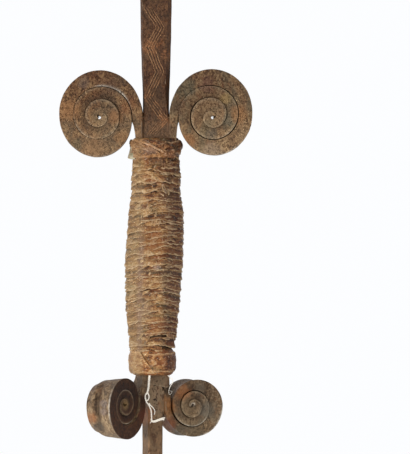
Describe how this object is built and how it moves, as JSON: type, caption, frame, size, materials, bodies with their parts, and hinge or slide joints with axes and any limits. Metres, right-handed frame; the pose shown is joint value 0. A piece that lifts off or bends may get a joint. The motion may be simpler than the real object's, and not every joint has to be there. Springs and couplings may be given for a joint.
{
  "type": "ceremonial scroll-hilted blade",
  "caption": "Forged iron ceremonial blade with a hide-bound faceted grip between rolled iron scrolls and a square butt spike.",
  "frame": {"origin": "centre of the grip, on the blade's axis", "axes": "+Z along the blade to its tip, +X across the blade to the viewer's right, -Y the front face"},
  "size_m": [0.0962, 0.0529, 0.4833],
  "materials": {
    "forged_iron": "hand-forged, dark brown patina with rust",
    "scroll_iron": "rolled bar, brown rust with grey-green patina",
    "grip_wood": "rough cut",
    "wrap_hide": "dried raw hide, frayed and polished by hands",
    "collar_hide": "dried raw hide, glossy at the folds",
    "cotton_string": "undyed cotton"
  },
  "bodies": {
    "root": {"blade_and_shaft": "forged_iron", "upper_right_scroll": "scroll_iron", "upper_left_scroll": "scroll_iron", "lower_right_scroll": "scroll_iron", "lower_left_scroll": "scroll_iron", "front_grip_scale": "grip_wood", "back_grip_scale": "grip_wood", "hide_wrap": "wrap_hide", "upper_collar": "collar_hide", "lower_collar": "collar_hide", "loose_strip_end": "wrap_hide", "label_string": "cotton_string"}
  },
  "joints": []
}
